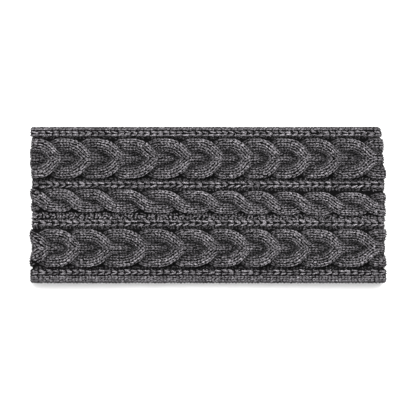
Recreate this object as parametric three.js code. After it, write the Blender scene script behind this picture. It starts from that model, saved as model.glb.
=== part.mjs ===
// Ear warmer headband: one knitted band, a closed loop that lies flat in two layers,
// folded at its left and right ends. Its outside carries cables, chain ribs and turned hems,
// all worked in the same fabric, so the whole band is one solid.
// Millimetres. X runs along the band, Y across it from hem to hem, and Z up.
// The origin is the middle of the underside.
import * as THREE from "three";

// The loop as it lies.
const FLAT_LENGTH = 231.6; // from the outside of one fold to the outside of the other
const FOLD_GAP = 8; // clear height inside each fold
const MIDDLE_GAP = 5; // clear height between the layers, halfway along
const SETTLE = 0.9; // how far the cables underneath are pressed flat

// The fabric, measured out from the plain inside face.
const FABRIC = 2.6; // plain fabric, as it shows in the gutters
const HEM_THICKNESS = 4.8; // the turned hems, two layers of fabric
const RIB_RISE = 1.9; // crest of a chain rib above the gutters
const STRAND_RISE = 3; // crest of a cable's strand above the gutters, between its crossings
const CROSSING_RISE = 1.6; // how much higher that crest is where the strand crosses over

// The bands across the width, from the lower hem to the upper one.
const LOWER_HEM = 9;
const UPPER_HEM = 6.4;
const GUTTER = 1.3;
const PURL_GUTTER = 3.4;
const RIB = 4.8;
const LOWER_CABLE = 24.8;
const MIDDLE_CABLE = 15.2;
const UPPER_CABLE = 26.1;

// The cables.
const CABLE_REPEAT = 20.9; // from one crossing to the next
const SPINE_OVERLAP = 4.4; // how far each rope of a two-rope cable runs under the other one
const STRAND_FULLNESS = 2.3; // power of a strand's section: 2 is an ellipse, and more is fuller
const STRAND_TILT = 0.42; // how much higher a strand's outer side is than its crest, as a share
const TILT_LAG = 0.2; // how long a strand keeps that tilt past its crossing, in repeats
const FOLD_FLATTENING = 0.4; // share of the relief that is pulled flat round a fold

// How the band lies a little uneven.
const UPPER_PULL_IN = 4; // how much shorter the right end is at the upper hem
const PULL_IN_POWER = 3; // how late that sets in towards the upper hem
const MIDDLE_CABLE_DRIFT = 1.4; // how far the middle cable wanders across, at either end
const STRETCH = 0.11; // most that the crossings stray from even spacing, in repeats
const STRETCH_WAVES = 3; // how often the stretch comes and goes round the loop

// The mesh.
const COLUMNS_PER_REPEAT = 6;
const COLUMNS_PER_FOLD = 8;

// A cable is one rope of two strands, or two ropes that mirror each other about its spine.
// strand is the width of one strand, sharpness how much steeper than a plain wave it runs
// where it crosses, skew how much sooner it reaches the cable's edge than it comes back from
// there, in radians, and lead how far before its crossing it is highest, in repeats.
// first is where a crossing lies, in millimetres to the right of the middle of the front,
// and ease is how many repeats more than half of them lie on the front, halved.
const LOWER = {
  ropes: 2,
  strand: 8.8,
  sharpness: 0.13,
  skew: 0.15,
  lead: 0.08,
  first: -2.4,
  ease: -0.06,
};
const MIDDLE = {
  ropes: 1,
  strand: 8.4,
  sharpness: 0.12,
  skew: 0,
  lead: 0,
  first: -1.1,
  ease: -0.03,
};
const UPPER = {
  ropes: 2,
  strand: 9,
  sharpness: 0.13,
  skew: 0.15,
  lead: 0.08,
  first: 1,
  ease: 0.14,
};

const ACROSS = [
  { kind: "hem", width: LOWER_HEM },
  { kind: "gutter", width: GUTTER },
  { kind: "cable", width: LOWER_CABLE, cable: LOWER },
  { kind: "gutter", width: GUTTER },
  { kind: "rib", width: RIB },
  { kind: "wide gutter", width: PURL_GUTTER },
  { kind: "cable", width: MIDDLE_CABLE, cable: MIDDLE, drift: MIDDLE_CABLE_DRIFT },
  { kind: "gutter", width: GUTTER },
  { kind: "rib", width: RIB },
  { kind: "gutter", width: GUTTER },
  { kind: "cable", width: UPPER_CABLE, cable: UPPER },
  { kind: "gutter", width: GUTTER },
  { kind: "hem", width: UPPER_HEM },
];

// Where each kind of band has its lines of vertices, as shares of its width, and how far
// each line of a cable is shifted along the band, in repeats. The shift follows the strands,
// which start at a cable's edge and run towards +X: to the spine, or across the whole rope.
const LINES = {
  gutter: [0.5],
  "wide gutter": [0.2, 0.8],
  rib: [0.22, 0.78],
};
const ROPE_LINES = [
  { share: 0.05, shift: -0.14 },
  { share: 0.27, shift: -0.26 },
  { share: 0.5, shift: -0.5 },
  { share: 0.73, shift: -0.74 },
  { share: 0.95, shift: -0.86 },
];
const HORSESHOE_LINES = [
  { share: 0.03, shift: 0.1 },
  { share: 0.17, shift: 0.26 },
  { share: 0.33, shift: 0.6 },
  { share: 0.5, shift: 0.9 },
  { share: 0.67, shift: 0.6 },
  { share: 0.83, shift: 0.26 },
  { share: 0.97, shift: 0.1 },
];
const HEM_LINES = [0.45, 0.86]; // on a hem's outer face, as shares of its width from its edge
const HEM_EDGE_ANGLES = [-90, -50, 0, 50].map(THREE.MathUtils.degToRad);
const INSIDE_LINES = [0.4]; // on the plain inside face, as shares of the width, from above

const bandWidth = ACROSS.reduce((sum, band) => sum + band.width, 0);
const crestRise = STRAND_RISE + CROSSING_RISE;
const foldRadius = FOLD_GAP / 2;
const foldReach = foldRadius + Math.max(HEM_THICKNESS, FABRIC + crestRise * (1 - FOLD_FLATTENING));
const straight = FLAT_LENGTH / 2 - foldReach; // from the middle to where a fold starts
const foldLength = Math.PI * (foldRadius + FABRIC / 2);
const loopLength = 4 * straight + 2 * foldLength;
const repeats = Math.round(loopLength / CABLE_REPEAT);
const innerFloor = FABRIC + crestRise - SETTLE; // inside face of the lower layer

// The stretches of the loop, from the left end of the upper layer round to it again.
const columnsPerLayer = Math.round((2 * straight * COLUMNS_PER_REPEAT) / CABLE_REPEAT);
const STRETCHES = [
  { length: 2 * straight, columns: columnsPerLayer, lay: (share) => upperLayerAt(share) },
  { length: foldLength, columns: COLUMNS_PER_FOLD, lay: (share) => foldAt(1, share * Math.PI) },
  { length: 2 * straight, columns: columnsPerLayer, lay: (share) => lowerLayerAt(share) },
  { length: foldLength, columns: COLUMNS_PER_FOLD, lay: (share) => foldAt(-1, (1 - share) * Math.PI) },
];
const columnCount = STRETCHES.reduce((sum, stretch) => sum + stretch.columns, 0);

// The inside face at a column: its place, the way out through the fabric, how far it is
// turned round a fold, 0 to 1, and its distance round the loop from the middle of the front.
function loopAt(column) {
  let left = ((column % columnCount) + columnCount) % columnCount;
  let distance = -straight;
  for (const { length, columns, lay } of STRETCHES) {
    if (left < columns) return { ...lay(left / columns), distance: distance + (length * left) / columns };
    left -= columns;
    distance += length;
  }
  throw new RangeError("a column lies past the end of the loop");
}

// The upper layer sags between the folds.
function upperLayerAt(share) {
  const x = straight * (2 * share - 1);
  const sag = FOLD_GAP - MIDDLE_GAP;
  const angle = (Math.PI * x) / straight;
  const slope = ((sag / 2) * Math.PI * Math.sin(angle)) / straight;
  const long = Math.hypot(1, slope);
  return {
    x,
    z: innerFloor + FOLD_GAP - (sag / 2) * (1 + Math.cos(angle)),
    outX: -slope / long,
    outZ: 1 / long,
    turned: 0,
  };
}

function lowerLayerAt(share) {
  return { x: straight * (1 - 2 * share), z: innerFloor, outX: 0, outZ: -1, turned: 0 };
}

function foldAt(side, angle) {
  const outX = side * Math.sin(angle);
  const outZ = Math.cos(angle);
  return {
    x: side * straight + outX * foldRadius,
    z: innerFloor + foldRadius + outZ * foldRadius,
    outX,
    outZ,
    turned: Math.sin(angle) ** 2,
  };
}

// Which crossing of a cable lies at a distance round the loop, counted from its first one.
function crossingAt(distance, cable) {
  const turn = (2 * Math.PI * distance) / loopLength;
  const even = (repeats * (distance - cable.first)) / loopLength;
  return even + cable.ease * Math.sin(turn) - STRETCH * Math.cos(STRETCH_WAVES * turn);
}

// A strand's section, as a share of its crest. off is -1 and 1 at its two sides, and the side
// that faces away from the rope's middle stands higher.
function sectionHeight(along, off) {
  if (Math.abs(off) >= 1) return 0;
  const tilt = 1 - STRAND_TILT * Math.sin(Math.PI * (along - TILT_LAG)) * off;
  return tilt * (1 - Math.abs(off) ** STRAND_FULLNESS) ** (1 / STRAND_FULLNESS);
}

// How high a rope of two strands stands above the gutters. across is measured from the rope's
// middle line towards the side that its strands start from, and swing is how far they run
// to either side of that line.
function ropeRise(crossing, across, swing, { strand, sharpness, skew, lead }) {
  let highest = 0;
  for (const step of [-1, 0, 1]) {
    const along = crossing - Math.round(crossing) - step; // 0 at the crossing, 1/2 at the edges
    const angle = Math.PI * along + skew * (1 - Math.cos(2 * Math.PI * along));
    const middle = -swing * (Math.sin(angle) + sharpness * Math.sin(3 * angle));
    const steepness = Math.cos(angle) + 3 * sharpness * Math.cos(3 * angle);
    const turning = Math.PI * (1 + 2 * skew * Math.sin(2 * Math.PI * along));
    const slope = (swing * steepness * turning) / CABLE_REPEAT;
    const off = (across - middle) / Math.hypot(1, slope) / (strand / 2);
    const crest = STRAND_RISE + CROSSING_RISE * Math.cos(Math.PI * (along + lead));
    highest = Math.max(highest, crest * sectionHeight(along, off));
  }
  return highest;
}

// across is measured from the cable's middle.
function cableRise(distance, across, { width, cable }) {
  const ropeWidth = cable.ropes === 1 ? width : width / 2 + SPINE_OVERLAP;
  const fromRope = cable.ropes === 1 ? across : Math.abs(across) - (width - ropeWidth) / 2;
  const swing = (ropeWidth - cable.strand) / 2 / (1 - cable.sharpness);
  return ropeRise(crossingAt(distance, cable), fromRope, swing, cable);
}

// What is left of the relief where the fabric is turned round a fold.
function held(turned) {
  return 1 - FOLD_FLATTENING * turned;
}

// The lines of vertices round the band's section, in order. Each has its shift along the band
// in columns, and gives its place across the band and out from the inside face.
function sectionLines() {
  const lines = [];
  let start = 0;
  let shift = 0;
  for (const band of ACROSS) {
    const { kind, width } = band;
    const from = start;
    if (kind === "hem") lines.push(...hemLines(width, start > 0, shift));
    else if (kind === "cable") {
      const isRope = band.cable.ropes === 1;
      for (const line of isRope ? ROPE_LINES : HORSESHOE_LINES)
        lines.push({
          shift: shift + line.shift * COLUMNS_PER_REPEAT,
          across: ({ x }) => from + line.share * width - ((band.drift ?? 0) * x) / straight,
          out: ({ distance, turned }) =>
            FABRIC + cableRise(distance, (line.share - 0.5) * width, band) * held(turned),
        });
      if (isRope) shift -= COLUMNS_PER_REPEAT;
    } else {
      const rise = kind === "rib" ? RIB_RISE : 0;
      for (const share of LINES[kind])
        lines.push({
          shift,
          across: () => from + share * width,
          out: ({ turned }) => FABRIC + rise * held(turned),
        });
    }
    start += width;
  }
  for (const share of INSIDE_LINES)
    lines.push({ shift, across: () => bandWidth * (1 - share), out: () => 0 });
  return { lines, shift };
}

// A hem's round edge and outer face. The lower one runs from the inside out, the upper one back.
function hemLines(width, isUpper, shift) {
  const half = HEM_THICKNESS / 2;
  const edge = HEM_EDGE_ANGLES.map((angle) => ({
    fromEdge: half * (1 - Math.cos(angle)),
    out: half * (1 + Math.sin(angle)),
  }));
  const face = HEM_LINES.map((share) => ({ fromEdge: share * width, out: HEM_THICKNESS }));
  const lines = [...edge, ...face].map(({ fromEdge, out }) => ({
    shift,
    across: () => (isUpper ? bandWidth - fromEdge : fromEdge),
    out: () => out,
  }));
  return isUpper ? lines.reverse() : lines;
}

// The right end is pulled in towards the upper hem.
function pulledIn(x, across) {
  const share = Math.max(0, (2 * x) / FLAT_LENGTH);
  const rise = Math.max(0, (2 * across) / bandWidth - 1);
  return x - UPPER_PULL_IN * share ** 2 * rise ** PULL_IN_POWER;
}

function bandGeometry() {
  const { lines, shift } = sectionLines();
  const points = [];
  const outs = [];
  for (let column = 0; column < columnCount; column++)
    for (const line of lines) {
      const place = loopAt(column + line.shift);
      const out = line.out(place);
      const across = line.across(place);
      points.push(
        pulledIn(place.x + place.outX * out, across),
        across - bandWidth / 2,
        Math.max(0, place.z + place.outZ * out), // pressed flat where it rests
      );
      outs.push(out);
    }
  // The last line meets the first one as many columns on as it is shifted.
  const vertex = (column, line) => {
    const wrapped = line === lines.length ? column + shift : column;
    return ((wrapped + columnCount) % columnCount) * lines.length + (line % lines.length);
  };
  const index = [];
  for (let column = 0; column < columnCount; column++)
    for (let line = 0; line < lines.length; line++) {
      const a = vertex(column, line);
      const b = vertex(column + 1, line);
      const c = vertex(column + 1, line + 1);
      const d = vertex(column, line + 1);
      // Each square is split along the diagonal that runs more nearly along a ridge.
      if (Math.abs(outs[a] - outs[c]) <= Math.abs(outs[b] - outs[d])) index.push(a, b, c, a, c, d);
      else index.push(a, b, d, b, c, d);
    }
  const geometry = new THREE.BufferGeometry();
  geometry.setAttribute("position", new THREE.Float32BufferAttribute(points, 3));
  geometry.setIndex(index);
  geometry.computeVertexNormals();
  return geometry;
}

const wool = new THREE.MeshStandardMaterial({ color: 0x5f5c5f, roughness: 0.95, metalness: 0 });

const knitBand = new THREE.Mesh(bandGeometry(), wool);
knitBand.name = "knit_band";

const headband = new THREE.Group();
headband.add(knitBand);

export default headband;
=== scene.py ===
from math import pi

import bpy
import numpy as np
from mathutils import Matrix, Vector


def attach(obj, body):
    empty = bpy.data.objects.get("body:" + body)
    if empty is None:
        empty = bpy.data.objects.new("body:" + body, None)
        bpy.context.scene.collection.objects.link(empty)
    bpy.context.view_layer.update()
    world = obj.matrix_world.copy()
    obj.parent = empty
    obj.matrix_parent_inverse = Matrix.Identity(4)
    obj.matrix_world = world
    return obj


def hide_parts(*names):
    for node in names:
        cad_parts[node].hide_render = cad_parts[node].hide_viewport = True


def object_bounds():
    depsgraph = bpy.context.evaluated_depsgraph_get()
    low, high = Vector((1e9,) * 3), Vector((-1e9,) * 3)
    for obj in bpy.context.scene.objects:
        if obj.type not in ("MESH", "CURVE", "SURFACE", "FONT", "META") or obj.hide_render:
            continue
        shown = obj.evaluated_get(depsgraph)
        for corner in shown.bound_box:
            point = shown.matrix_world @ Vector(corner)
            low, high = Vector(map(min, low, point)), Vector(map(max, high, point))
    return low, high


# The knitted headband of the frame, dressed in yarn: each leg of a stitch is two short plies,
# laid on the same relief as the CAD solid's, over a plain ground. Lengths are in millimetres up
# to where a mesh is made, and in metres from there on.
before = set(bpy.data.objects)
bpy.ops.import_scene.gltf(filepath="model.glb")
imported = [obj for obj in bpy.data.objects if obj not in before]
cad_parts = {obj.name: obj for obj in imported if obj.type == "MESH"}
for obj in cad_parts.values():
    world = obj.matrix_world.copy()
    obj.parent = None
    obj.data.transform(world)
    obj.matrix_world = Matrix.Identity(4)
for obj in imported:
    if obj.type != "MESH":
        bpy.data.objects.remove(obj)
cad_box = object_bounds()
random = np.random.default_rng(20)

MM = 0.001

# The loop as it lies, as in the part's source.
FLAT_LENGTH = 231.6
FOLD_GAP = 8
MIDDLE_GAP = 5
SETTLE = 0.9

# The fabric, measured out from the plain inside face.
FABRIC = 2.6
HEM_THICKNESS = 4.8
RIB_RISE = 1.9
STRAND_RISE = 3
CROSSING_RISE = 1.6

# The bands across the width.
LOWER_HEM = 9
UPPER_HEM = 6.4
GUTTER = 1.3
PURL_GUTTER = 3.4
RIB = 4.8
LOWER_CABLE = 24.8
MIDDLE_CABLE = 15.2
UPPER_CABLE = 26.1

# The cables.
CABLE_REPEAT = 20.9
SPINE_OVERLAP = 4.4
STRAND_FULLNESS = 2.3
STRAND_TILT = 0.42
TILT_LAG = 0.2
FOLD_FLATTENING = 0.4
UPPER_PULL_IN = 4
PULL_IN_POWER = 3
MIDDLE_CABLE_DRIFT = 1.4
STRETCH = 0.11
STRETCH_WAVES = 3

# A cable is one rope of two strands, or two ropes that mirror each other about its spine. strand
# is the width of one strand, sharpness how much steeper than a plain wave it runs where it
# crosses, skew how much sooner it reaches the cable's edge than it comes back from there, and
# lead how far before its crossing it is highest. first is where a crossing lies, to the right
# of the middle of the front, and ease how many repeats more than half of them lie on the front,
# halved.
LOWER = {
    "name": "lower_cable", "ropes": 2, "strand": 8.8, "sharpness": 0.13, "skew": 0.15,
    "lead": 0.08, "first": -2.4, "ease": -0.06,
}
MIDDLE = {
    "name": "middle_cable", "ropes": 1, "strand": 8.4, "sharpness": 0.12, "skew": 0,
    "lead": 0, "first": -1.1, "ease": -0.03,
}
UPPER = {
    "name": "upper_cable", "ropes": 2, "strand": 9, "sharpness": 0.13, "skew": 0.15,
    "lead": 0.08, "first": 1, "ease": 0.14,
}

ACROSS = [
    {"kind": "hem", "width": LOWER_HEM},
    {"kind": "gutter", "width": GUTTER},
    {"kind": "cable", "width": LOWER_CABLE, "cable": LOWER},
    {"kind": "gutter", "width": GUTTER},
    {"kind": "rib", "width": RIB},
    {"kind": "wide gutter", "width": PURL_GUTTER},
    {"kind": "cable", "width": MIDDLE_CABLE, "cable": MIDDLE},
    {"kind": "gutter", "width": GUTTER},
    {"kind": "rib", "width": RIB},
    {"kind": "gutter", "width": GUTTER},
    {"kind": "cable", "width": UPPER_CABLE, "cable": UPPER},
    {"kind": "gutter", "width": GUTTER},
    {"kind": "hem", "width": UPPER_HEM},
]
start = 0
for band in ACROSS:
    band["middle"] = start + band["width"] / 2
    start += band["width"]

BAND_WIDTH = start
CREST_RISE = STRAND_RISE + CROSSING_RISE
FOLD_RADIUS = FOLD_GAP / 2
FOLD_REACH = FOLD_RADIUS + max(HEM_THICKNESS, FABRIC + CREST_RISE * (1 - FOLD_FLATTENING))
STRAIGHT = FLAT_LENGTH / 2 - FOLD_REACH
FOLD_LENGTH = pi * (FOLD_RADIUS + FABRIC / 2)
LOOP_LENGTH = 4 * STRAIGHT + 2 * FOLD_LENGTH
REPEATS = round(LOOP_LENGTH / CABLE_REPEAT)
INNER_FLOOR = FABRIC + CREST_RISE - SETTLE
EDGE_RADIUS = HEM_THICKNESS / 2
INVERSE_SAMPLES = 4001  # round the loop, for the distances at which crossings lie
STRAND_SAMPLES = 241  # along a strand, for the lengths along it

# The yarn.
ROWS = 220  # rows of stitches round the loop
ROW = LOOP_LENGTH / ROWS
STRAND_WALES = 3  # columns of stitches in one strand
STRAND_COVER = 0.97  # share of a strand's width that its stitches cover
SECTION_BEND = 0.9  # how far round its section a strand's outermost stitches lie, in radians
STRAND_SPAN = 0.95  # how far to either side of its crossing a strand has stitches, in repeats
STRAND_SLANT = 0.5  # how much a stitch's two legs draw together towards its end, as a share
STRAND_REACH = 0.7  # half the length of a leg, in rows
HIDDEN = -0.7  # a stitch that lies lower than this against another strand isn't made
PAST_SPINE = -0.6  # nor is one that lies further past its cable's spine
CABLE_YARN = 0.56  # radius, as it lies in a cable
RIB_YARN = 0.86
CHAIN_YARN = 0.7
HEM_YARN = 0.6
PURL_YARN = 0.62
PURL_ARCH = 1.1  # how far a purl bump's ends go down into the fabric
PURL_ARCH_POWER = 2.2  # how late towards its ends it goes down
PURL_END_SHADE = 0.5  # how much less light there is at its ends, as a share
GUTTER_DRIFT = 0.5  # how much of the middle cable's wandering the wide gutter follows
GROUND_DEPTH = 0.8  # how far the ground lies under the crests of the stitches
GUTTER_DEPTH = 0.25  # and how far under the purl bumps
GUTTER_RISE = 0.2  # relief that is lower than this is a gutter
GROUND_LIGHT = 0.03  # the light that gets down to the ground, as a share
PLY_SHARE = 0.6  # radius of a ply, as a share of the yarn's
PLY_APART = 0.5  # distance of a ply's middle from the yarn's middle, as a share of its radius
STOUT_PLY = 1.7  # radius of a ply that stands for both, as a share of one ply's
UNDERNEATH = -0.95  # the way out points down at least this steeply where the band rests
PLY_TWIST = 1.1  # how far the plies turn from a leg's middle to its end, in radians
PLY_STRAY = 0.08  # how much the plies differ in radius, as a share
SIDES = 4  # of a ply's section
STATIONS = np.array([-1, -0.6, 0.02, 0.62, 1])  # along a stitch's leg, from end to end
STATION_RADIUS = np.array([0, 0.94, 1.03, 0.92, 0])  # a ply's radius there, as a share
LEG_DIP = 1.3  # how far a leg's ends go down into the fabric
LEG_TOP = 0.08  # where along it a leg lies highest
LEG_POWER = 2.4  # how late towards its ends it goes down
DIP_SHADE = 0.75  # how much less light there is at a leg's ends, as a share
DIP_SHADE_POWER = 1.5  # how late towards its ends the shade sets in
DEEPEST = 0.8  # how near to the plain inside face a yarn's middle may come

# Columns of stitches round the loop: their rows, the radius of the yarn, how far the two legs
# of a stitch lie apart in its middle, how much they draw together towards its end, and half the
# length of a leg, in rows.
RIB_CHAIN = {"rows": ROWS // 2, "yarn": RIB_YARN, "apart": 2.15, "slant": 0.62, "reach": 0.66}
HEM_CHAIN = {"rows": ROWS // 2, "yarn": CHAIN_YARN, "apart": 1.7, "slant": 0.6, "reach": 0.66}
HEM_PLAIN = {"rows": ROWS, "yarn": HEM_YARN, "slant": 0.5, "reach": 0.72}

# The hems.
CHAIN_BORDER = 4  # width of a hem's border next to the gutter, where its chain lies
CHAIN_MIDDLE = 0.46  # where the chain lies in it, as a share from the gutter
HEM_WALE = 4.2  # width of a plain column of stitches, in radii of its yarn
UNDER_CHAIN = 0.7  # how far the plain fabric lies under the chain
UNDER_CHAIN_SHARES = (0.22, 0.78)  # where it has columns of stitches in the border
UNDER_CHAIN_APART = 0.8  # how far the two legs of a stitch lie apart there
UNDER_CHAIN_LIGHT = 1.1  # the light on it, as a share of that on the plain fabric

# How unevenly stitches lie along, beside and under their line. A strand's beside is a share of
# half its width, a bump's along is in rows, and its length strays by a share.
STRAND_STRAY = {"along": 0.1, "beside": 0.025, "depth": 0.06}
WALE_STRAY = {"along": 0.14, "beside": 0.1, "depth": 0.05}
BUMP_STRAY = {"length": 0.2, "along": 0.2, "depth": 0.15}

# The light that the fabric's own form lets in, painted into the wool's colour. It falls with the
# depth under the mean height of the fabric round about: wool deep between strands gets painted
# shade.
SKY_REACH = 2.6  # how far round about counts
SKY_LEVEL = 0.6  # the light at the mean height, as a share
SKY_GAIN = 0.42  # how much more there is for each millimetre above it
SKY_LEAST = 0.2  # the least that is left
SKY_MOST = 1.3  # and the most that there is
HEM_LIGHT = 1.2  # how much more light there is on the hems, which nothing stands above
CREASE_LIGHT = 0.3  # the light in a crease where one strand goes under another, as a share
CREASE_REACH = 2  # how high above the other strand's surface the crease's shade ends
SHADOW_FROM = 1.3  # how far towards the upper hem a strand stands that throws a shadow
SHADOW_GAIN = 0.7  # how much less light there is for each millimetre that it stands higher
SHADOW_LIGHT = 0.18  # the least light that a shadow leaves, as a share
SPINE_SHADE = 0.25  # how much darker a strand gets after its crossing, where it sinks in
SPINE_FROM = 0.25  # where that sets in after the crossing, in repeats
SPINE_OVER = 0.35  # and over how long

# Lines of purl bumps in each kind of band: how far beside its middle and out of the fabric,
# how far the bumps stray and turn away from straight across, half their length and their light.
PURL_LINES = {
    "gutter": [
        {"beside": -0.5, "out": 0.0, "stray": 0.2, "turn": 0.9, "half": 0.9, "light": 0.75},
        {"beside": 0.6, "out": 0.0, "stray": 0.2, "turn": 0.9, "half": 0.9, "light": 0.75},
    ],
    "wide gutter": [
        {"beside": -1.1, "out": 0.6, "stray": 0.3, "turn": 1.2, "half": 1.0, "light": 1.1},
        {"beside": 0.1, "out": 0.6, "stray": 0.3, "turn": 1.2, "half": 1.0, "light": 1.0},
        {"beside": 1.2, "out": 0.2, "stray": 0.3, "turn": 1.2, "half": 1.0, "light": 0.8},
    ],
    "rib": [
        {"beside": -2.1, "out": 0.1, "stray": 0.2, "turn": 0.9, "half": 0.9, "light": 0.75},
        {"beside": 2.1, "out": 0.1, "stray": 0.2, "turn": 0.9, "half": 0.9, "light": 0.75},
    ],
}


# The form of the band

def loop_at(distance):
    """The inside face at distances round the loop from the middle of the front: its x and z,
    the way out through the fabric in x and z, and how far it is turned round a fold."""
    run = np.mod(distance + STRAIGHT, LOOP_LENGTH)
    right = run - 2 * STRAIGHT
    lower = right - FOLD_LENGTH
    left = lower - 2 * STRAIGHT
    wave = pi * (run - STRAIGHT) / STRAIGHT
    sag = FOLD_GAP - MIDDLE_GAP
    slope = sag / 2 * pi / STRAIGHT * np.sin(wave)
    long = np.hypot(1, slope)
    angle = pi * np.where(left < 0, right, FOLD_LENGTH - left) / FOLD_LENGTH
    side = np.where(left < 0, 1, -1)
    sine = np.sin(angle)
    cosine = np.cos(angle)
    stretch = [right < 0, lower < 0, left < 0]
    x = np.select(
        stretch,
        [run - STRAIGHT, STRAIGHT + sine * FOLD_RADIUS, STRAIGHT - lower],
        -STRAIGHT - sine * FOLD_RADIUS,
    )
    fold_z = INNER_FLOOR + FOLD_RADIUS + cosine * FOLD_RADIUS
    upper_z = INNER_FLOOR + FOLD_GAP - sag / 2 * (1 + np.cos(wave))
    z = np.select(stretch, [upper_z, fold_z, np.full_like(x, INNER_FLOOR)], fold_z)
    out_x = np.select(stretch, [-slope / long, sine, np.zeros_like(x)], side * sine)
    out_z = np.select(stretch, [1 / long, cosine, np.full_like(x, -1)], cosine)
    turned = np.select(stretch, [np.zeros_like(x), sine**2, np.zeros_like(x)], sine**2)
    return x, z, out_x, out_z, turned


def held(distance):
    """What is left of the relief where the fabric is turned round a fold."""
    return 1 - FOLD_FLATTENING * loop_at(distance)[4]


def drift(distance):
    """How far the middle cable has wandered across."""
    return MIDDLE_CABLE_DRIFT * loop_at(distance)[0] / STRAIGHT


def place(distance, across, out):
    """Points in space, and the way out at each."""
    x, z, out_x, out_z, _ = loop_at(distance)
    reach = x + out_x * out
    share = np.maximum(0, 2 * reach / FLAT_LENGTH)
    rise = np.maximum(0, 2 * across / BAND_WIDTH - 1)
    pulled = reach - UPPER_PULL_IN * share**2 * rise**PULL_IN_POWER
    points = np.stack([pulled, across - BAND_WIDTH / 2, z + out_z * out], -1)
    return points, np.stack([out_x, np.zeros_like(out_x), out_z], -1)


def crossing_at(distance, cable):
    """Which crossing of a cable lies at a distance round the loop, counted from its first."""
    turn = 2 * pi * distance / LOOP_LENGTH
    even = REPEATS * (distance - cable["first"]) / LOOP_LENGTH
    return even + cable["ease"] * np.sin(turn) - STRETCH * np.cos(STRETCH_WAVES * turn)


def distance_at(crossing, cable):
    """The distance round the loop at which a crossing lies."""
    span = np.linspace(-0.75 * LOOP_LENGTH, 0.75 * LOOP_LENGTH, INVERSE_SAMPLES)
    return np.interp(crossing, crossing_at(span, cable), span)


def rope_of(band):
    """The width of one rope of a cable, its middle's distance from the cable's middle, and how
    far its strands swing to either side."""
    cable = band["cable"]
    if cable["ropes"] == 1:
        width = band["width"]
    else:
        width = band["width"] / 2 + SPINE_OVERLAP
    swing = (width - cable["strand"]) / 2 / (1 - cable["sharpness"])
    return (band["width"] - width) / 2, swing


def crest_at(along, cable):
    """How high a strand's crest is above the gutters. A horseshoe cable's strands are highest
    before they cross, so they lie higher at its edge than at its spine."""
    return STRAND_RISE + CROSSING_RISE * np.cos(pi * (along + cable["lead"]))


def section_height(along, off):
    """A strand's section, as a share of its crest. off is -1 and 1 at its two sides, and the
    side that faces away from the rope's middle stands higher."""
    tilt = 1 - STRAND_TILT * np.sin(pi * (along - TILT_LAG)) * off
    return tilt * np.maximum(0, 1 - np.abs(off) ** STRAND_FULLNESS) ** (1 / STRAND_FULLNESS)


def strand_angle(along, cable):
    """How far a strand has swung. A skewed one is quick to reach the cable's edge after it has
    passed underneath, and slow to come back."""
    return pi * along + cable["skew"] * (1 - np.cos(2 * pi * along))


def strand_middle(along, swing, cable):
    """How far to one side of the rope's middle a strand runs."""
    angle = strand_angle(along, cable)
    return -swing * (np.sin(angle) + cable["sharpness"] * np.sin(3 * angle))


def rope_rise(crossing, across, swing, cable, without=None):
    """How high a rope stands above the gutters, without one strand if that is named. Every
    second number is that strand again, on from its next crossings."""
    highest = np.zeros_like(across)
    for step in (-1, 0, 1):
        strand = np.round(crossing) + step
        along = crossing - strand
        angle = strand_angle(along, cable)
        steepness = np.cos(angle) + 3 * cable["sharpness"] * np.cos(3 * angle)
        turning = pi * (1 + 2 * cable["skew"] * np.sin(2 * pi * along))
        slope = swing * steepness * turning / CABLE_REPEAT
        beside = (across - strand_middle(along, swing, cable)) / np.hypot(1, slope)
        off = beside / (cable["strand"] / 2)
        rise = crest_at(along, cable) * section_height(along, off)
        if without is not None:
            rise = np.where((strand - without) % 2 == 0, 0, rise)
        highest = np.maximum(highest, rise)
    return highest


def relief(distance, across):
    """How far the outside lies from the inside face."""
    out = np.full_like(distance, FABRIC)
    for band in ACROSS:
        off = across - band["middle"]
        if band["kind"] == "hem":
            out = np.where(np.abs(off) <= band["width"] / 2, HEM_THICKNESS, out)
        elif band["kind"] == "rib":
            share = np.clip(2 * off / band["width"], -1, 1)
            out = np.maximum(out, FABRIC + RIB_RISE * held(distance) * np.sqrt(1 - share**2))
        elif band["kind"] == "cable":
            if band["cable"] is MIDDLE:
                off = off + drift(distance)
            offset, swing = rope_of(band)
            from_rope = off if offset == 0 else np.abs(off) - offset
            crossing = crossing_at(distance, band["cable"])
            rise = rope_rise(crossing, from_rope, swing, band["cable"])
            out = np.maximum(out, FABRIC + rise * held(distance))
    return out


def smoothed(heights, step):
    """The mean height round about on a grid, whose first axis runs right round the loop."""
    rows, columns = heights.shape
    padded = np.concatenate([heights, heights[:, ::-1]], 1)
    waves = np.fft.rfft2(padded)
    along = np.fft.fftfreq(rows, step)[:, None]
    beside = np.fft.rfftfreq(2 * columns, step)[None, :]
    waves *= np.exp(-2 * (pi * SKY_REACH) ** 2 * (along**2 + beside**2))
    return np.fft.irfft2(waves, padded.shape)[:, :columns]


SKY_ROWS = round(LOOP_LENGTH)
SKY_STEP = LOOP_LENGTH / SKY_ROWS
SKY_COLUMNS = round(BAND_WIDTH / SKY_STEP)
mean_height = smoothed(
    relief(*np.meshgrid(
        np.arange(SKY_ROWS) * SKY_STEP, (np.arange(SKY_COLUMNS) + 0.5) * SKY_STEP, indexing="ij"
    )),
    SKY_STEP,
)


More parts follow.
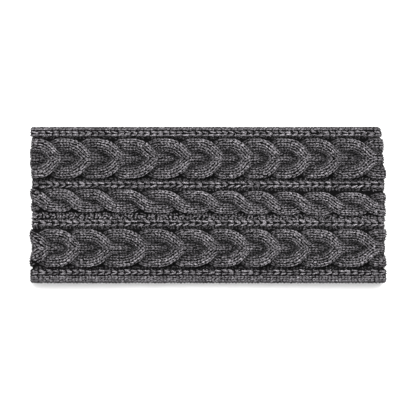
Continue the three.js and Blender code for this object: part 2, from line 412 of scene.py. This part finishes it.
def sky_light(distance, across, out):
    """The light at a height out of the fabric, against the mean height round about."""
    row = np.mod(distance / SKY_STEP, SKY_ROWS)
    column = np.clip(across / SKY_STEP - 0.5, 0, SKY_COLUMNS - 1.001)
    low_row, low_column = row.astype(int), column.astype(int)
    r, c = row - low_row, column - low_column
    high_row = (low_row + 1) % SKY_ROWS
    low_row = low_row % SKY_ROWS
    around = (
        mean_height[low_row, low_column] * (1 - r) * (1 - c)
        + mean_height[high_row, low_column] * r * (1 - c)
        + mean_height[low_row, low_column + 1] * (1 - r) * c
        + mean_height[high_row, low_column + 1] * r * c
    )
    return np.clip(SKY_LEVEL + SKY_GAIN * (out - around), SKY_LEAST, SKY_MOST)


# Lengths of yarn. Each is a row of five arrays: distance, across, out, radius and light by
# station.

def jitter(shape, spread):
    """Chance amounts, the same all along each length."""
    return random.normal(0, spread, shape)[..., None]


def leg_dip():
    """How far a leg lies under its highest place, along it."""
    return LEG_DIP * np.abs(STATIONS - LEG_TOP) ** LEG_POWER


def leg_light():
    """The light along a leg, whose ends lie under the next stitches."""
    return 1 - DIP_SHADE * np.clip(leg_dip() / LEG_DIP, 0, 1) ** DIP_SHADE_POWER


def twisted(count, yarn):
    """Two plies that twist round each leg: how far each lies beside the leg's own line and
    under it, and its radius."""
    angle = random.uniform(0, 2 * pi, count)[:, None] + PLY_TWIST * STATIONS
    angle = np.concatenate([angle, angle + pi])
    apart = yarn * PLY_APART
    radius = yarn * PLY_SHARE * (1 + jitter(2 * count, PLY_STRAY)) * STATION_RADIUS
    return apart * np.cos(angle), apart * np.sin(angle), radius


def twice(values):
    """The same values for both plies."""
    return np.concatenate([values, values])


def drawn(shows, distance, across, out, radius, light):
    """The lengths that are drawn, of those that show. Underneath, where the band rests, the
    first ply of each leg stands for both."""
    middle = distance[:, len(STATIONS) // 2]
    below = loop_at(middle)[3] < UNDERNEATH
    second = np.arange(len(middle)) >= len(middle) // 2
    stout = np.where(below[:, None], radius * STOUT_PLY, radius)
    shows = shows & ~(below & second)
    out = np.maximum(out, DEEPEST)
    return [part[shows] for part in (distance, across, out, stout, light)]


def strand_legs(band, half):
    """The stitches that show on the strands of one rope. half is 1 or -1 for the upper and lower
    rope of a horseshoe cable, whose strands run from its edge to its spine."""
    cable = band["cable"]
    offset, swing = rope_of(band)
    apart = STRAND_COVER / STRAND_WALES
    half_width = cable["strand"] / 2
    lengths = []
    stray = STRAND_STRAY
    for strand in range(-REPEATS // 2, REPEATS - REPEATS // 2):
        along = np.linspace(-STRAND_SPAN, STRAND_SPAN, STRAND_SAMPLES)
        distance = distance_at(strand + along, cable)
        middle = strand_middle(along, swing, cable)
        run = np.concatenate([[0], np.cumsum(np.hypot(np.diff(distance), np.diff(middle)))])
        rows = np.arange(0.5, run[-1] / ROW - 0.5) * ROW
        row, wale, side = np.meshgrid(
            rows, np.arange(STRAND_WALES) - (STRAND_WALES - 1) / 2, [-0.5, 0.5], indexing="ij"
        )
        row = row.ravel()[:, None]
        wale = wale.ravel()[:, None]
        side = side.ravel()[:, None]
        count = len(row)
        ply_beside, ply_depth, radius = twisted(count, CABLE_YARN)
        at = row + STATIONS * ROW * STRAND_REACH + jitter(count, stray["along"])
        spread = 1 - STRAND_SLANT * STATIONS
        share = apart * (2 * wale + side * spread) + jitter(count, stray["beside"])
        at = twice(at)
        # Round the loop, beside the rope's middle, and on from the strand's crossing in repeats.
        d = np.interp(at, run, distance)
        m = np.interp(at, run, middle)
        a = np.interp(at, run, along)
        share = np.sin(SECTION_BEND * twice(share)) / np.sin(SECTION_BEND)
        share = share + ply_beside / half_width
        run_d = np.interp(at, run, np.gradient(distance, run))
        run_m = np.interp(at, run, np.gradient(middle, run))
        depth = CABLE_YARN + leg_dip() + twice(jitter(count, stray["depth"])) + ply_depth
        crest = crest_at(a, cable) * held(d)
        off = half_width * share
        rise = crest * section_height(a, share) - depth
        d = d - run_m * off
        m = m + run_d * off
        across = band["middle"] + (half * (offset + m) if offset else m)
        if cable is MIDDLE:
            across = across - drift(d)
        mid = len(STATIONS) // 2
        crossing = crossing_at(d, cable)
        top = rise + CABLE_YARN
        clear = top - rope_rise(crossing, m, swing, cable, strand) * held(d)
        shows = clear[:, mid] > HIDDEN
        if offset:
            shows &= offset + m[:, mid] > PAST_SPINE
        # Painted shade darkens the legs' colour: in creases under other strands, past the spine, in
        # the shadow of the strand towards the upper hem, at the legs' ends and deep in the fabric.
        crease = np.clip(CREASE_LIGHT + clear / CREASE_REACH, CREASE_LIGHT, 1)
        if offset:
            crease = crease * (1 - SPINE_SHADE * np.clip((a - SPINE_FROM) / SPINE_OVER, 0, 1))
        beyond = rope_rise(crossing, m + half * SHADOW_FROM, swing, cable, strand) * held(d)
        shadow = np.clip(1 - SHADOW_GAIN * (beyond - top), SHADOW_LIGHT, 1)
        light = leg_light() * crease * shadow * sky_light(d, across, FABRIC + top)
        lengths.append(drawn(shows, d, across, FABRIC + rise, radius, light))
    return lengths


def wale(middle, lay, rows, yarn, apart, slant, reach):
    """One column of stitches right round the loop. lay says where a place beside its line and
    a depth under the surface are, across the band and out."""
    stray = WALE_STRAY
    pitch = LOOP_LENGTH / rows
    row, side = np.meshgrid(np.arange(rows), [-1, 1], indexing="ij")
    row = row.ravel()[:, None]
    side = side.ravel()[:, None]
    count = len(row)
    ply_beside, ply_depth, radius = twisted(count, yarn)
    along = (row + 0.5) * pitch + STATIONS * pitch * reach
    distance = twice(along + jitter(count, stray["along"]))
    beside = middle + side * apart / 2 * (1 - slant * STATIONS) + jitter(count, stray["beside"])
    depth = yarn + leg_dip() + twice(jitter(count, stray["depth"])) + ply_depth
    across, out = lay(distance, twice(beside) + ply_beside, depth)
    # Painted shade at the legs' ends and deep in the fabric.
    light = leg_light() * sky_light(distance, across, out + yarn)
    return drawn(True, distance, across, out, radius, light)


def rib_wale(band):
    def lay(distance, beside, depth):
        rise = RIB_RISE * held(distance)
        return band["middle"] + beside, FABRIC + rise - depth

    return wale(0, lay, **RIB_CHAIN)


def hem_lay(upper):
    """Lays a wale on a hem: beside is measured round the hem's edge from its inside."""
    def lay(distance, beside, depth):
        round_edge = pi * EDGE_RADIUS
        angle = np.clip(beside / EDGE_RADIUS, 0, pi) - pi / 2
        past = np.maximum(0, beside - round_edge)
        from_edge = EDGE_RADIUS - (EDGE_RADIUS - depth) * np.cos(angle) + past
        out = EDGE_RADIUS + (EDGE_RADIUS - depth) * np.sin(angle)
        return (BAND_WIDTH - from_edge if upper else from_edge), out

    return lay


def sunk(lay):
    """Lays a wale deeper, under a hem's chain."""
    return lambda distance, beside, depth: lay(distance, beside, depth + UNDER_CHAIN)


def hem_wales(band, upper):
    """A hem's chain, its plain fabric from the inside round its edge to the chain's border, and
    what goes on under the chain."""
    lay = hem_lay(upper)
    surface = pi * EDGE_RADIUS + band["width"] - EDGE_RADIUS
    plain = surface - CHAIN_BORDER
    wales = [wale(surface - CHAIN_MIDDLE * CHAIN_BORDER, lay, **HEM_CHAIN)]
    count = round(plain / (HEM_WALE * HEM_YARN))
    for i in range(count):
        wales.append(wale(plain * (i + 0.5) / count, lay, apart=plain / count / 2, **HEM_PLAIN))
    for share in UNDER_CHAIN_SHARES:
        middle = plain + CHAIN_BORDER * share
        under = wale(middle, sunk(lay), apart=UNDER_CHAIN_APART, **HEM_PLAIN)
        wales.append([*under[:4], under[4] * UNDER_CHAIN_LIGHT])
    return [[*parts[:4], parts[4] * HEM_LIGHT] for parts in wales]


def bumps(band, line):
    """A line of purl bumps along the band, each an arch of yarn that lies any way round."""
    beside, out, stray, half, light = (line[k] for k in ("beside", "out", "stray", "half", "light"))
    count = ROWS
    row = np.arange(count)[:, None]
    turn = random.normal(0, line["turn"], count)[:, None]
    reach = half * (1 + jitter(count, BUMP_STRAY["length"])) * STATIONS
    ply_beside, ply_depth, radius = twisted(count, PURL_YARN)
    along = (row + 0.5) * ROW + reach * np.sin(turn)
    distance = twice(along + jitter(count, ROW * BUMP_STRAY["along"])) + ply_beside
    across = twice(band["middle"] + beside + reach * np.cos(turn) + jitter(count, stray))
    arch = PURL_ARCH * np.abs(STATIONS) ** PURL_ARCH_POWER
    out = FABRIC + out - arch + twice(jitter(count, BUMP_STRAY["depth"])) - ply_depth
    if band["kind"] == "wide gutter":
        across = across - drift(distance) * GUTTER_DRIFT
    # Painted light and shade: darker at the bumps' ends and deep in the fabric, and set per line.
    ends = 1 - PURL_END_SHADE * STATIONS**2
    light = light * ends * sky_light(distance, across, out + PURL_YARN)
    return drawn(True, distance, across, out, radius, light)


def purls(band):
    """All the lines of purl bumps in one band."""
    return [bumps(band, line) for line in PURL_LINES[band["kind"]]]


# Meshes

CELL_MARGIN = 0.04  # round each length's own cell on the baked map, as a share of it
GROUND_MARGIN = 0.002  # round the ground's
PATTERN_STEP = 7.3  # how much further on in the yarn's pattern each length starts
GROUND_COLUMNS = 400  # of the ground's mesh, round the loop
EDGE_LINES = 9  # of that mesh round each hem's edge
FACE_LINES = 90  # across the outside
INSIDE_LINES = 24  # and across the inside


def within(spot, margin):
    """A place on a square map, drawn in by a margin on each side."""
    return margin + (1 - 2 * margin) * spot


def as_arrays(lengths):
    return [np.concatenate(parts) for parts in zip(*lengths)]


def unit(vectors):
    return vectors / np.maximum(np.linalg.norm(vectors, axis=-1, keepdims=True), 1e-9)


def make_object(name, points, faces, maps, tones, material):
    """A mesh from points in millimetres, faces as arrays of corners, and maps and tones
    that are given for each corner and each point."""
    corners = np.concatenate([f.ravel() for f in faces])
    sizes = np.concatenate([np.full(len(f), f.shape[1]) for f in faces])
    mesh = bpy.data.meshes.new(name)
    mesh.vertices.add(len(points))
    mesh.vertices.foreach_set("co", (points * MM).ravel().astype(np.float32))
    mesh.loops.add(len(corners))
    mesh.loops.foreach_set("vertex_index", corners.astype(np.int32))
    mesh.polygons.add(len(sizes))
    starts = np.concatenate([[0], np.cumsum(sizes)[:-1]])
    mesh.polygons.foreach_set("loop_start", starts.astype(np.int32))
    mesh.update(calc_edges=True)
    for map_name, values in maps.items():
        layer = mesh.uv_layers.new(name=map_name)
        layer.uv.foreach_set("vector", values.ravel().astype(np.float32))
    for tone_name, values in tones.items():
        tone = mesh.attributes.new(tone_name, "FLOAT", "POINT")
        tone.data.foreach_set("value", values.ravel().astype(np.float32))
    mesh.shade_smooth()
    mesh.validate()
    thing = bpy.data.objects.new(name, mesh)
    bpy.context.scene.collection.objects.link(thing)
    mesh.materials.append(material)
    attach(thing, "root")
    return thing


def yarn_object(name, lengths, material):
    """One mesh of many lengths of yarn. Each is a tube that closes to a point at both ends."""
    distance, across, out, radius, light = as_arrays(lengths)
    centre, way_out = place(distance, across, out)
    along = unit(np.gradient(centre, axis=1))
    beside = unit(np.cross(along, way_out))
    up = np.cross(beside, along)
    count, stations = distance.shape
    rings = stations - 2
    angle = 2 * pi * np.arange(SIDES) / SIDES - pi / 2
    spokes = (
        np.cos(angle)[:, None] * beside[:, 1:-1, None, :]
        + np.sin(angle)[:, None] * up[:, 1:-1, None, :]
    )
    ring_points = centre[:, 1:-1, None, :] + radius[:, 1:-1, None, None] * spokes
    points = np.concatenate(
        [centre[:, :1], ring_points.reshape(count, -1, 3), centre[:, -1:]], 1
    )
    points[..., 2] = np.maximum(points[..., 2], 0)
    per_length = points.shape[1]

    side = np.arange(SIDES)
    next_side = (side + 1) % SIDES
    first = 1 + side
    last = 1 + (rings - 1) * SIDES + side
    caps = np.concatenate(
        [
            np.stack([np.zeros(SIDES, int), 1 + next_side, first], -1),
            np.stack([np.full(SIDES, per_length - 1), last, last - side + next_side], -1),
        ]
    )
    walls = np.concatenate(
        [
            np.stack([r + side, r + next_side, r + SIDES + next_side, r + SIDES + side], -1)
            for r in 1 + np.arange(rings - 1) * SIDES
        ]
    )
    # The same corners on the yarn's own map: along it from 0 to 1, and round it from 0 to 1.
    station = (STATIONS - STATIONS[0]) / (STATIONS[-1] - STATIONS[0])
    lower, upper = side / SIDES, (side + 1) / SIDES
    ends = np.full(SIDES, station[0]), np.full(SIDES, station[-1])
    first_at, last_at = np.full(SIDES, station[1]), np.full(SIDES, station[-2])
    cap_map = np.concatenate(
        [
            np.stack([ends[0], (lower + upper) / 2, first_at, upper, first_at, lower], -1),
            np.stack([ends[1], (lower + upper) / 2, last_at, lower, last_at, upper], -1),
        ]
    ).reshape(-1, 3, 2)
    wall_map = np.concatenate(
        [
            np.stack(
                [
                    np.full(SIDES, a), lower, np.full(SIDES, a), upper,
                    np.full(SIDES, b), upper, np.full(SIDES, b), lower,
                ],
                -1,
            )
            for a, b in zip(station[1:-2], station[2:-1])
        ]
    ).reshape(-1, 4, 2)

    offsets = (np.arange(count) * per_length)[:, None, None]
    faces = [(caps + offsets).reshape(-1, 3), (walls + offsets).reshape(-1, 4)]
    # Each length has a cell of its own on the map that the patterns are baked to.
    cells = int(np.ceil(np.sqrt(count)))
    cell = np.stack([np.arange(count) % cells, np.arange(count) // cells], -1)
    size = np.linalg.norm(np.diff(centre, axis=1), axis=-1).sum(1)
    baked, own = [], []
    for part in (cap_map, wall_map):
        baked.append(((cell[:, None, None] + within(part, CELL_MARGIN)) / cells).reshape(-1, 2))
        begins = PATTERN_STEP * np.arange(count)[:, None, None]
        run = part[None, ..., 0] * size[:, None, None] + begins
        round_it = np.broadcast_to(part[None, ..., 1], run.shape)
        own.append(np.stack([run, round_it], -1).reshape(-1, 2))
    maps = {"OFBake": np.concatenate(baked), "yarn": np.concatenate(own)}
    at_station = np.concatenate([[0], np.repeat(np.arange(1, rings + 1), SIDES), [rings + 1]])
    tones = {
        "shade": np.repeat(random.uniform(0, 1, count), per_length),
        "light": light[:, at_station],
    }
    return make_object(name, points.reshape(-1, 3), faces, maps, tones, material)


def ground_object(material):
    """The fabric under the stitches: its outside follows the relief, its inside is plain, and
    its edges are round."""
    columns = GROUND_COLUMNS
    edge = np.radians(np.linspace(-90, 90, EDGE_LINES))
    face = np.linspace(EDGE_RADIUS, BAND_WIDTH - EDGE_RADIUS, FACE_LINES + 2)[1:-1]
    inside = np.linspace(BAND_WIDTH - EDGE_RADIUS, EDGE_RADIUS, INSIDE_LINES + 2)[1:-1]
    inner = EDGE_RADIUS - GROUND_DEPTH
    edge_from = EDGE_RADIUS - inner * np.cos(edge)
    edge_out = EDGE_RADIUS + inner * np.sin(edge)
    across = np.concatenate([edge_from, face, (BAND_WIDTH - edge_from)[::-1], inside])
    fixed = np.concatenate([edge_out, face * np.nan, edge_out[::-1], inside * 0])
    distance = np.arange(columns) * LOOP_LENGTH / columns
    distance, across = np.meshgrid(distance, across, indexing="ij")
    fixed = np.broadcast_to(fixed, across.shape)
    outside = np.isnan(fixed)
    height = relief(distance, across)
    depth = np.where(height > FABRIC + GUTTER_RISE, GROUND_DEPTH, GUTTER_DEPTH)
    out = np.where(outside, height - depth, np.nan_to_num(fixed))
    points, _ = place(distance, across, out)
    points[..., 2] = np.maximum(points[..., 2], 0)
    lines = across.shape[1]
    column, line = np.meshgrid(np.arange(columns), np.arange(lines), indexing="ij")
    next_column, next_line = (column + 1) % columns, (line + 1) % lines
    faces = np.stack(
        [
            column * lines + line,
            next_column * lines + line,
            next_column * lines + next_line,
            column * lines + next_line,
        ],
        -1,
    ).reshape(-1, 4)
    u0, u1 = column / columns, (column + 1) / columns
    v0, v1 = line / lines, (line + 1) / lines
    spot = np.stack([u0, v0, u1, v0, u1, v1, u0, v1], -1).reshape(-1, 4, 2)
    along0 = column * LOOP_LENGTH / columns
    along1 = (column + 1) * LOOP_LENGTH / columns
    here, there = across, np.roll(across, -1, axis=1)
    own = np.stack([along0, here, along1, here, along1, there, along0, there], -1)
    maps = {"OFBake": within(spot.reshape(-1, 2), GROUND_MARGIN), "yarn": own.reshape(-1, 2)}
    # Painted shade: the outside under the stitches keeps only GROUND_LIGHT of its colour; the
    # inside and the inner half of each edge keep all of it.
    tones = {"light": np.where((out <= EDGE_RADIUS) & ~outside, 1, GROUND_LIGHT)}
    return make_object("knit_ground", points.reshape(-1, 3), [faces], maps, tones, material)


# Materials

PLY_TURN = 2.6  # length of yarn in which its plies go round once, in millimetres
GROUND_WALE = 3.1  # width of a column of stitches in the ground's bump


def new_material(name):
    material = bpy.data.materials.new(name)
    material.use_nodes = True
    tree = material.node_tree
    tree.nodes.clear()
    output = tree.nodes.new("ShaderNodeOutputMaterial")
    shader = tree.nodes.new("ShaderNodeBsdfPrincipled")
    tree.links.new(shader.outputs["BSDF"], output.inputs["Surface"])
    return material, tree, shader


def node(tree, kind, inputs=None, **settings):
    """A new node with its settings, and its inputs as numbers or as other nodes' outputs."""
    made = tree.nodes.new(kind)
    for key, value in settings.items():
        setattr(made, key, value)
    for key, value in (inputs or {}).items():
        if isinstance(value, bpy.types.NodeSocket):
            tree.links.new(value, made.inputs[key])
        else:
            made.inputs[key].default_value = value
    return made


def ramp(tree, source, stops):
    made = node(tree, "ShaderNodeValToRGB", {"Fac": source})
    elements = made.color_ramp.elements
    while len(elements) > 1:
        elements.remove(elements[-1])
    elements[0].position, elements[0].color = stops[0][0], (*stops[0][1], 1)
    for position, colour in stops[1:]:
        elements.new(position).color = (*colour, 1)
    return made.outputs["Color"]


def yarn_material():
    """Charcoal heather yarn: fibres of several greys, in two plies that are twisted together."""
    material, tree, shader = new_material("wool_yarn")
    own = node(tree, "ShaderNodeUVMap", uv_map="yarn").outputs["UV"]
    tone = node(tree, "ShaderNodeAttribute", attribute_name="shade").outputs["Fac"]
    light = node(tree, "ShaderNodeAttribute", attribute_name="light").outputs["Fac"]
    split = node(tree, "ShaderNodeSeparateXYZ", {"Vector": own})
    # The plies run round the yarn.
    turn = node(
        tree, "ShaderNodeMath", {0: split.outputs["X"], 1: 1 / PLY_TURN}, operation="MULTIPLY"
    )
    lay = node(tree, "ShaderNodeMath", {0: turn.outputs[0], 1: split.outputs["Y"]}, operation="ADD")
    plies = node(tree, "ShaderNodeMath", {0: lay.outputs[0], 1: 4 * pi}, operation="MULTIPLY")
    wave = node(tree, "ShaderNodeMath", {0: plies.outputs[0]}, operation="SINE")
    # Fibres follow the plies, so they are long along them and thin across.
    lengthwise = node(tree, "ShaderNodeMath", {0: split.outputs["X"], 1: 0.6}, operation="MULTIPLY")
    across = node(tree, "ShaderNodeMath", {0: lay.outputs[0], 1: 1.6}, operation="MULTIPLY")
    grain = node(
        tree, "ShaderNodeCombineXYZ", {"X": lengthwise.outputs[0], "Y": across.outputs[0]}
    )
    fibre = node(
        tree, "ShaderNodeTexNoise",
        {"Vector": grain.outputs[0], "Scale": 2.2, "Detail": 3.0, "Roughness": 0.7},
    )
    colour = ramp(
        tree, fibre.outputs["Fac"],
        [
            (0.36, (0.008, 0.0076, 0.0081)),
            (0.46, (0.056, 0.0528, 0.0567)),
            (0.55, (0.14, 0.1325, 0.142)),
            (0.64, (0.37, 0.352, 0.374)),
        ],
    )
    lift = node(
        tree, "ShaderNodeMapRange",
        {"Value": tone, "From Min": 0.0, "From Max": 1.0, "To Min": 0.55, "To Max": 1.75},
    )
    # The light tone paints in light and shade: the fibres' colour is darkened where the fabric's
    # form shades it.
    lit = node(tree, "ShaderNodeMath", {0: lift.outputs[0], 1: light}, operation="MULTIPLY")
    toned = node(
        tree, "ShaderNodeMix", {"Factor": 1.0, 6: colour, 7: lit.outputs[0]},
        data_type="RGBA", blend_type="MULTIPLY",
    )
    tree.links.new(toned.outputs[2], shader.inputs["Base Color"])
    height = node(
        tree, "ShaderNodeMath", {0: wave.outputs[0], 1: 0.5, 2: fibre.outputs["Fac"]},
        operation="MULTIPLY_ADD",
    )
    bump = node(
        tree, "ShaderNodeBump",
        {"Strength": 0.7, "Distance": 0.00012, "Height": height.outputs[0]},
    )
    tree.links.new(bump.outputs[0], shader.inputs["Normal"])
    shader.inputs["Roughness"].default_value = 0.85
    shader.inputs["Specular IOR Level"].default_value = 0.06
    shader.inputs["Sheen Weight"].default_value = 0.03
    shader.inputs["Sheen Roughness"].default_value = 0.5
    return material


def ground_material():
    """The same wool seen deep between the stitches and on the plain inside."""
    material, tree, shader = new_material("wool_ground")
    own = node(tree, "ShaderNodeUVMap", uv_map="yarn").outputs["UV"]
    split = node(tree, "ShaderNodeSeparateXYZ", {"Vector": own})
    rows = node(
        tree, "ShaderNodeMath", {0: split.outputs["X"], 1: 2 * pi / ROW}, operation="MULTIPLY"
    )
    wales = node(
        tree, "ShaderNodeMath", {0: split.outputs["Y"], 1: 2 * pi / GROUND_WALE},
        operation="MULTIPLY",
    )
    row_wave = node(tree, "ShaderNodeMath", {0: rows.outputs[0]}, operation="SINE")
    wale_wave = node(tree, "ShaderNodeMath", {0: wales.outputs[0]}, operation="SINE")
    knots = node(
        tree, "ShaderNodeMath", {0: row_wave.outputs[0], 1: wale_wave.outputs[0]},
        operation="MULTIPLY",
    )
    fibre = node(
        tree, "ShaderNodeTexNoise",
        {"Vector": own, "Scale": 2.4, "Detail": 4.0, "Roughness": 0.7},
    )
    height = node(
        tree, "ShaderNodeMath", {0: knots.outputs[0], 1: 0.6, 2: fibre.outputs["Fac"]},
        operation="MULTIPLY_ADD",
    )
    colour = ramp(
        tree, fibre.outputs["Fac"],
        [
            (0.3, (0.027, 0.0255, 0.0273)),
            (0.5, (0.067, 0.0634, 0.0678)),
            (0.7, (0.167, 0.158, 0.169)),
        ],
    )
    # The light tone paints in shade: the ground is nearly black where it lies under the stitches.
    light = node(tree, "ShaderNodeAttribute", attribute_name="light").outputs["Fac"]
    toned = node(
        tree, "ShaderNodeMix", {"Factor": 1.0, 6: colour, 7: light},
        data_type="RGBA", blend_type="MULTIPLY",
    )
    tree.links.new(toned.outputs[2], shader.inputs["Base Color"])
    bump = node(
        tree, "ShaderNodeBump",
        {"Strength": 1.0, "Distance": 0.0004, "Height": height.outputs[0]},
    )
    tree.links.new(bump.outputs[0], shader.inputs["Normal"])
    shader.inputs["Roughness"].default_value = 0.95
    shader.inputs["Specular IOR Level"].default_value = 0.05
    return material


# The studio

FRAME_WIDTH = 0.2668  # of the picture, where the band lies
CAMERA_HEIGHT = 2.4
SENSOR = 36
BELOW_CENTRE = -0.002  # the middle of the picture lies just below the middle of the band
BESIDE_CENTRE = -0.0002  # and just to the left of it
FLOOR_REACH = 4
WORLD_LIGHT = 0.375
LIGHTS = [
    {"name": "key", "place_at": (0.1, 0.75, 1.65), "size": 1.5, "power": 85},
    {"name": "fill", "place_at": (-0.2, -0.3, 1.8), "size": 0.9, "power": 13},
]


def add_camera():
    data = bpy.data.cameras.new("camera")
    camera = bpy.data.objects.new("camera", data)
    bpy.context.scene.collection.objects.link(camera)
    top = cad_box[1].z
    camera.location = (BESIDE_CENTRE, BELOW_CENTRE, top + CAMERA_HEIGHT)
    camera.rotation_euler = (0, 0, 0)
    data.sensor_width = SENSOR
    data.lens = SENSOR * CAMERA_HEIGHT / FRAME_WIDTH
    data.clip_end = 10
    data.dof.use_dof = False
    bpy.context.scene.camera = camera


def add_light(name, place_at, size, power):
    data = bpy.data.lights.new(name, "AREA")
    data.shape = "DISK"
    data.size = size
    data.energy = power
    light = bpy.data.objects.new(name, data)
    bpy.context.scene.collection.objects.link(light)
    light.location = place_at
    light.rotation_mode = "QUATERNION"
    light.rotation_quaternion = light.location.to_track_quat("Z", "Y")


def add_studio():
    mesh = bpy.data.meshes.new("floor")
    reach = FLOOR_REACH
    mesh.from_pydata(
        [(-reach, -reach, 0), (reach, -reach, 0), (reach, reach, 0), (-reach, reach, 0)],
        [],
        [(0, 1, 2, 3)],
    )
    floor = bpy.data.objects.new("floor", mesh)
    bpy.context.scene.collection.objects.link(floor)
    material, _, shader = new_material("paper")
    shader.inputs["Base Color"].default_value = (0.97, 0.97, 0.97, 1)
    shader.inputs["Roughness"].default_value = 0.9
    shader.inputs["Specular IOR Level"].default_value = 0.1
    mesh.materials.append(material)
    world = bpy.data.worlds.new("studio")
    bpy.context.scene.world = world
    world.use_nodes = True
    back = world.node_tree.nodes["Background"]
    back.inputs["Color"].default_value = (1, 1, 1, 1)
    back.inputs["Strength"].default_value = WORLD_LIGHT
    for light in LIGHTS:
        add_light(**light)
    settings = bpy.context.scene.view_settings
    settings.view_transform = "Standard"
    settings.look = "None"


def build():
    yarn = yarn_material()
    ground = ground_object(ground_material())
    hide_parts("knit_band")
    cables = [band for band in ACROSS if band["kind"] == "cable"]
    dressing = []
    for band in cables:
        name = band["cable"]["name"]
        dressing.append(yarn_object(name, strand_legs(band, 1), yarn))
        if band["cable"]["ropes"] == 2:
            dressing.append(yarn_object(name + "_mirrored", strand_legs(band, -1), yarn))
    gutters = [line for band in ACROSS if band["kind"] in PURL_LINES for line in purls(band)]
    ribs = [rib_wale(band) for band in ACROSS if band["kind"] == "rib"]
    dressing.append(yarn_object("ribs_and_purls", ribs + gutters, yarn))
    dressing.append(yarn_object("lower_hem", hem_wales(ACROSS[0], False), yarn))
    dressing.append(yarn_object("upper_hem", hem_wales(ACROSS[-1], True), yarn))
    return ground, dressing


add_camera()
add_studio()
ground, dressing = build()
for thing in (ground, *dressing):
    thing.data.calc_loop_triangles()
    print(thing.name, len(thing.data.loop_triangles), "triangles")
